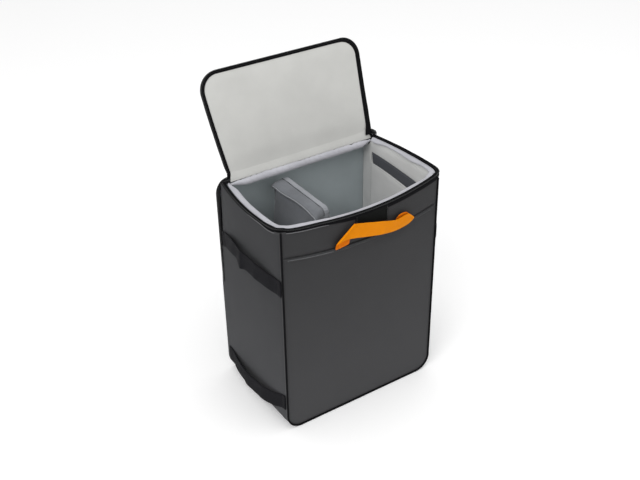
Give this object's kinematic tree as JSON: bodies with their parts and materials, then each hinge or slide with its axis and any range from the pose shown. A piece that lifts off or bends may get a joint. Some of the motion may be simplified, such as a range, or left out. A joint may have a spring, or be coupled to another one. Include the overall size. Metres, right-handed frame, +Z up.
{
  "type": "camera bag insert",
  "caption": "Upright padded fabric box for camera gear, with a zipped padded lid standing open, a zipped rear door, an inner shelf, movable dividers, webbing side straps and a front handle.",
  "frame": {"origin": "centre of the box's base, on the surface it stands on", "axes": "+Z up; the front panel with the handle faces -Y and the lid is hinged at the rear; +X is to the right of a person facing the front panel"},
  "size_m": [0.3247, 0.2669, 0.5615],
  "materials": {
    "outer_fabric": "charcoal coated woven polyester",
    "side_fabric": "charcoal woven polyester, fine weave",
    "black_binding": "black edge binding and zip tape",
    "foam": "closed-cell foam board",
    "lining": "light grey brushed loop lining",
    "collar": "light grey gathered lining",
    "black_webbing": "black woven webbing",
    "orange_webbing": "orange woven webbing",
    "divider_fabric": "blue-grey brushed loop fabric",
    "hook_tape": "dark grey hook tape",
    "zip_metal": "black enamelled zinc"
  },
  "bodies": {
    "box": {"front_panel_lower": "outer_fabric", "front_panel_upper": "outer_fabric", "front_foam": "foam", "front_lining": "lining", "left_panel": "side_fabric", "left_foam": "foam", "left_lining": "lining", "right_panel": "side_fabric", "right_foam": "foam", "right_lining": "lining", "bottom_panel": "side_fabric", "bottom_foam": "foam", "bottom_lining": "lining", "top_strip_panel": "outer_fabric", "top_strip_foam": "foam", "top_strip_lining": "lining", "rear_gusset_left": "black_binding", "rear_gusset_right": "black_binding", "rim_zip_tape": "black_binding", "rim_collar": "collar", "front_piping": "black_binding", "label_patch": "black_binding", "left_upper_strap": "black_webbing", "left_lower_strap": "black_webbing", "right_upper_strap": "black_webbing", "right_lower_strap": "black_webbing", "handle_tack_left": "orange_webbing", "handle_tack_right": "orange_webbing"},
    "lid": {"lid_panel": "outer_fabric", "lid_foam": "foam", "lid_lining": "lining", "lid_binding": "black_binding", "lid_zip_tape": "black_binding", "lid_hinge_tape": "black_binding"},
    "rear_door": {"rear_door_panel": "outer_fabric", "rear_door_foam": "foam", "rear_door_lining": "lining", "rear_door_binding": "black_binding"},
    "rear_slider": {"rear_zip_slider": "zip_metal"},
    "rear_pull": {"rear_zip_pull": "zip_metal"},
    "lid_slider": {"lid_zip_slider": "zip_metal"},
    "lid_pull": {"lid_zip_pull": "zip_metal"},
    "handle": {"front_handle": "orange_webbing"},
    "shelf": {"shelf_pad": "divider_fabric", "shelf_tab_left": "divider_fabric", "shelf_upstand_right": "divider_fabric", "shelf_hook_tab": "hook_tape"},
    "divider": {"divider_left_pad": "divider_fabric", "divider_right_pad": "divider_fabric", "divider_front_tab": "divider_fabric", "divider_rear_tab": "hook_tape"},
    "lower_partition": {"lower_divider": "divider_fabric", "lower_divider_front_tab": "hook_tape", "lower_divider_rear_tab": "hook_tape"}
  },
  "joints": [
    {"name": "lid_hinge", "type": "hinge", "parent": "box", "child": "lid", "pos_m": [0, 0.0763, 0.397], "axis": [-1, 0, 0], "range_deg": [-107.8, 42]},
    {"name": "rear_door_hinge", "type": "hinge", "parent": "box", "child": "rear_door", "pos_m": [0.152, 0.09185, 0.1985], "axis": [0, 0, -1], "range_deg": [0, 150]},
    {"name": "rear_zip_slide", "type": "slide", "parent": "rear_door", "child": "rear_slider", "axis": [-1, 0, 0], "range_m": [0, 0.22]},
    {"name": "rear_pull_swing", "type": "hinge", "parent": "rear_slider", "child": "rear_pull", "pos_m": [0.11, 0.1026, 0.395], "axis": [1, 0, 0], "range_deg": [0, 90]},
    {"name": "lid_zip_slide", "type": "slide", "parent": "box", "child": "lid_slider", "axis": [0.0896, -0.996, 0], "range_m": [0, 0.135]},
    {"name": "lid_pull_swing", "type": "hinge", "parent": "lid_slider", "child": "lid_pull", "pos_m": [0.1569, 0.08, 0.399], "axis": [0, -1, 0], "range_deg": [-2, 140]},
    {"name": "handle_swing", "type": "hinge", "parent": "box", "child": "handle", "pos_m": [0, -0.1185, 0.338], "axis": [1, 0, 0], "range_deg": [0, 120]},
    {"name": "shelf_shift", "type": "slide", "parent": "box", "child": "shelf", "axis": [0, 0, 1], "range_m": [-0.02, 0.004]},
    {"name": "divider_shift", "type": "slide", "parent": "shelf", "child": "divider", "axis": [1, 0, 0], "range_m": [-0.05, 0.06]},
    {"name": "lower_divider_shift", "type": "slide", "parent": "box", "child": "lower_partition", "axis": [1, 0, 0], "range_m": [-0.12, 0.09]}
  ]
}
